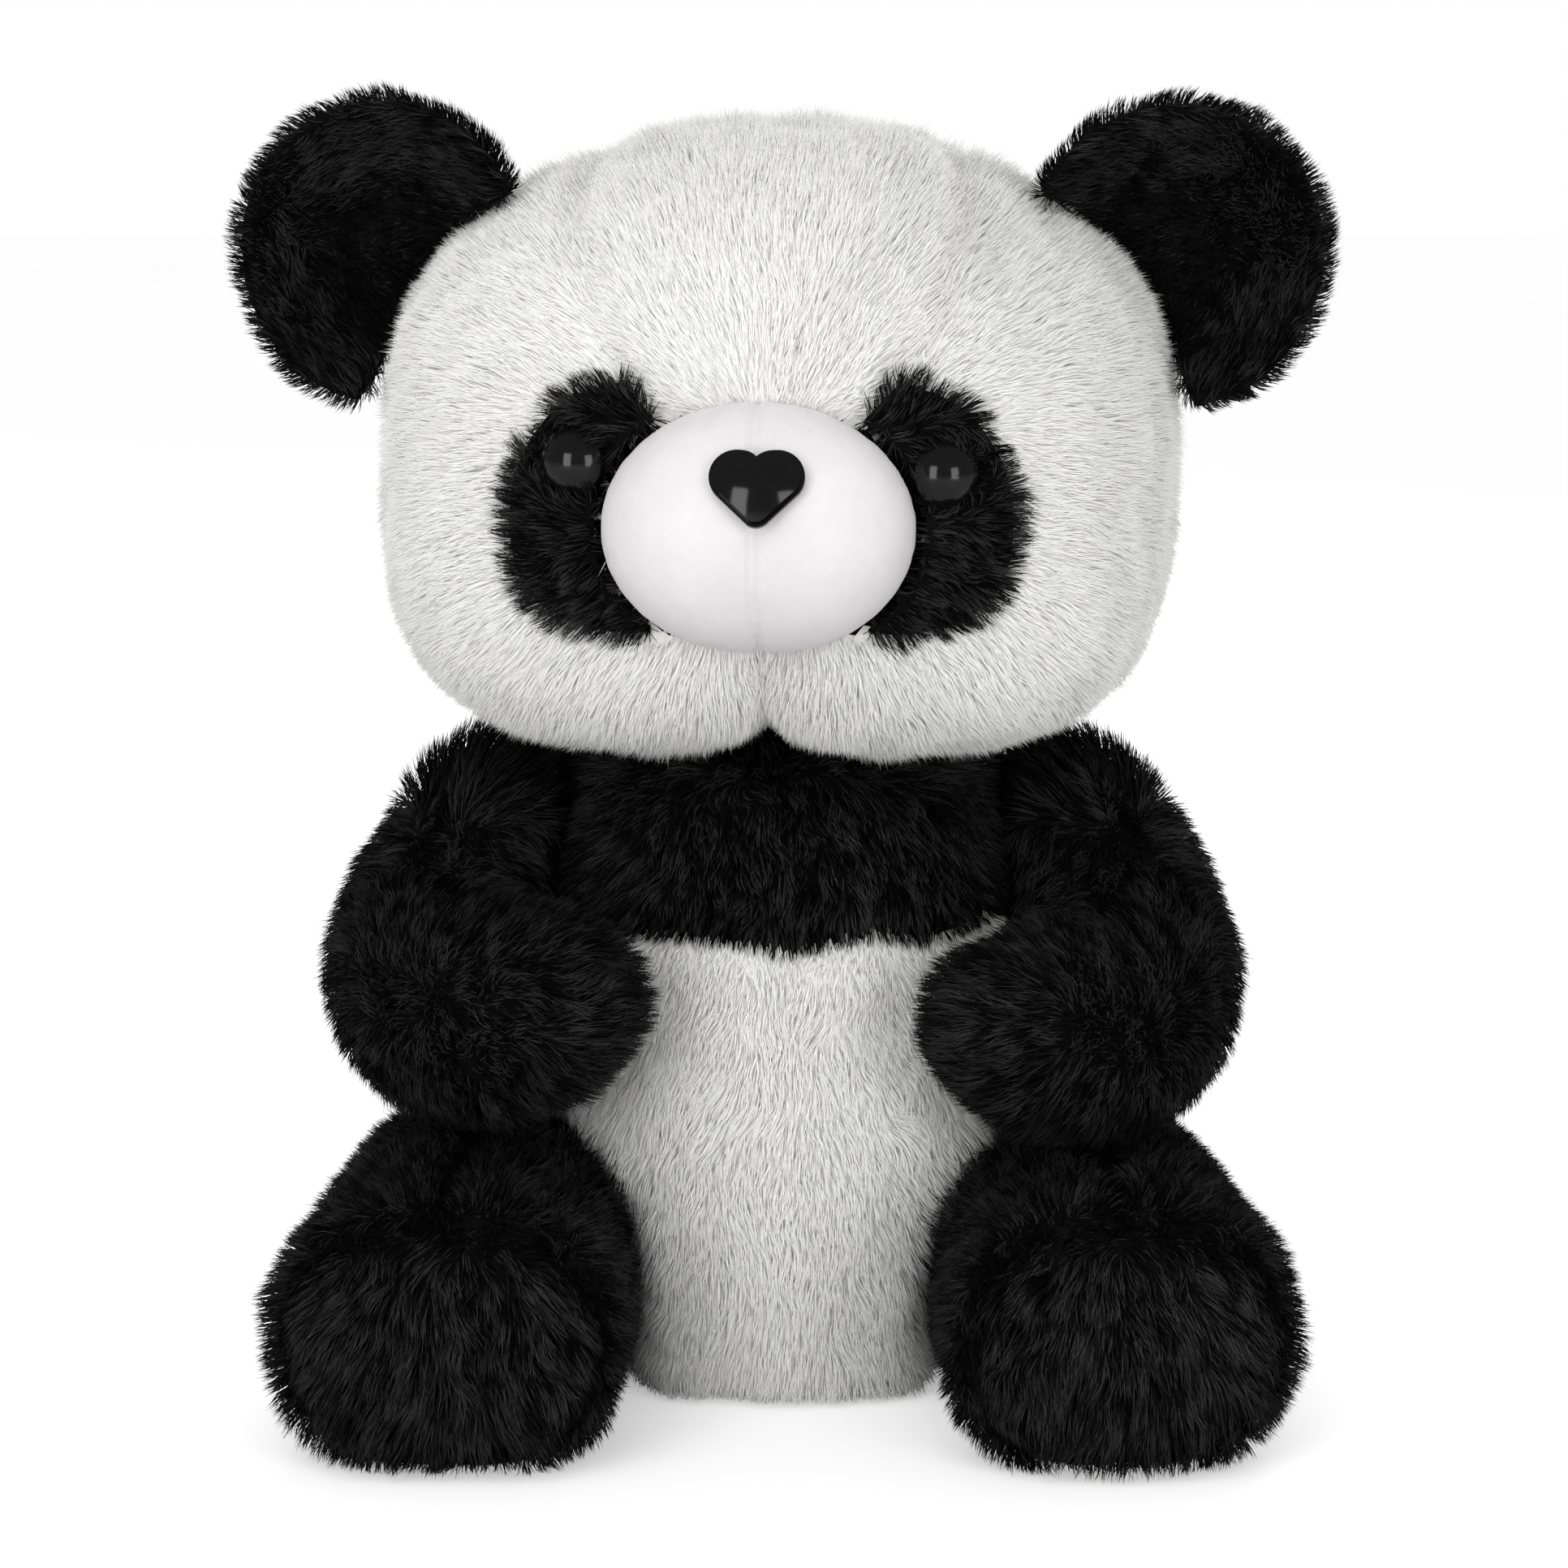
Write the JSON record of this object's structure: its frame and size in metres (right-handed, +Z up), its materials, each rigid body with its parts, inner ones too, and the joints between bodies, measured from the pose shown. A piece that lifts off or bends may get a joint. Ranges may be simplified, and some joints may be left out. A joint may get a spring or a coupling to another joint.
{
  "type": "plush panda",
  "caption": "Sitting plush panda with a big round head, cupped ears, domed plastic eyes, heart nose, and stuffed arms and legs that bend at their seams.",
  "frame": {"origin": "on the floor, under the middle of the toy's overall box", "axes": "+Z up, -Y the way the face and the soles look, +X the panda's own left side"},
  "size_m": [0.3071, 0.2189, 0.3687],
  "materials": {
    "white_plush": "matte",
    "black_plush": "matte",
    "velboa": "matte",
    "stuffing": "matte",
    "black_plastic": "gloss",
    "washer_plastic": "matte",
    "label_tape": "satin"
  },
  "bodies": {
    "torso": {"chest_panel": "black_plush", "belly_panel": "white_plush", "left_upper_back_panel": "black_plush", "right_upper_back_panel": "black_plush", "left_lower_back_panel": "white_plush", "right_lower_back_panel": "white_plush", "base_panel": "white_plush", "body_stuffing": "stuffing", "tail": "white_plush", "care_label": "label_tape"},
    "head": {"forehead_panel": "white_plush", "left_cheek_panel": "white_plush", "right_cheek_panel": "white_plush", "left_head_back_panel": "white_plush", "right_head_back_panel": "white_plush", "head_stuffing": "stuffing", "left_muzzle_panel": "velboa", "right_muzzle_panel": "velboa", "muzzle_stuffing": "stuffing", "nose": "black_plastic", "nose_washer": "washer_plastic", "left_eye_patch": "black_plush", "right_eye_patch": "black_plush", "left_eye": "black_plastic", "right_eye": "black_plastic", "eye_washers": "washer_plastic"},
    "left_ear": {"left_ear_front": "black_plush", "left_ear_back": "black_plush"},
    "left_arm": {"left_arm_outer_panel": "black_plush", "left_arm_inner_panel": "black_plush", "left_arm_stuffing": "stuffing"},
    "left_leg": {"left_leg_outer_panel": "black_plush", "left_leg_inner_panel": "black_plush", "left_sole": "black_plush", "left_leg_stuffing": "stuffing"},
    "right_ear": {"right_ear_front": "black_plush", "right_ear_back": "black_plush"},
    "right_arm": {"right_arm_outer_panel": "black_plush", "right_arm_inner_panel": "black_plush", "right_arm_stuffing": "stuffing"},
    "right_leg": {"right_leg_outer_panel": "black_plush", "right_leg_inner_panel": "black_plush", "right_sole": "black_plush", "right_leg_stuffing": "stuffing"}
  },
  "joints": [
    {"name": "neck_turn", "type": "hinge", "parent": "torso", "child": "head", "pos_m": [0, 0.02375, 0.192], "axis": [0, 0, 1], "range_deg": [-16, 24], "stiffness_Nm_per_rad": 0.12},
    {"name": "left_ear_fold", "type": "hinge", "parent": "head", "child": "left_ear", "pos_m": [0.0905, 0.01341, 0.3165], "axis": [-0.5928, 0.0415, 0.8043], "range_deg": [-12, 12], "stiffness_Nm_per_rad": 0.05},
    {"name": "left_shoulder_swing", "type": "hinge", "parent": "torso", "child": "left_arm", "pos_m": [0.078, 0.02375, 0.157], "axis": [-1, 0, 0], "range_deg": [0, 24], "stiffness_Nm_per_rad": 0.25},
    {"name": "left_hip_spread", "type": "hinge", "parent": "torso", "child": "left_leg", "pos_m": [0.074, 0.01175, 0.043], "axis": [0, 0, 1], "range_deg": [-2, 12], "stiffness_Nm_per_rad": 0.6},
    {"name": "right_ear_fold", "type": "hinge", "parent": "head", "child": "right_ear", "pos_m": [-0.09106, 0.02611, 0.3165], "axis": [0.5928, -0.0415, 0.8043], "range_deg": [-12, 12], "stiffness_Nm_per_rad": 0.05},
    {"name": "right_shoulder_swing", "type": "hinge", "parent": "torso", "child": "right_arm", "pos_m": [-0.078, 0.02375, 0.157], "axis": [-1, 0, 0], "range_deg": [0, 24], "stiffness_Nm_per_rad": 0.25},
    {"name": "right_hip_spread", "type": "hinge", "parent": "torso", "child": "right_leg", "pos_m": [-0.074, 0.01175, 0.043], "axis": [0, 0, -1], "range_deg": [-2, 12], "stiffness_Nm_per_rad": 0.6}
  ]
}
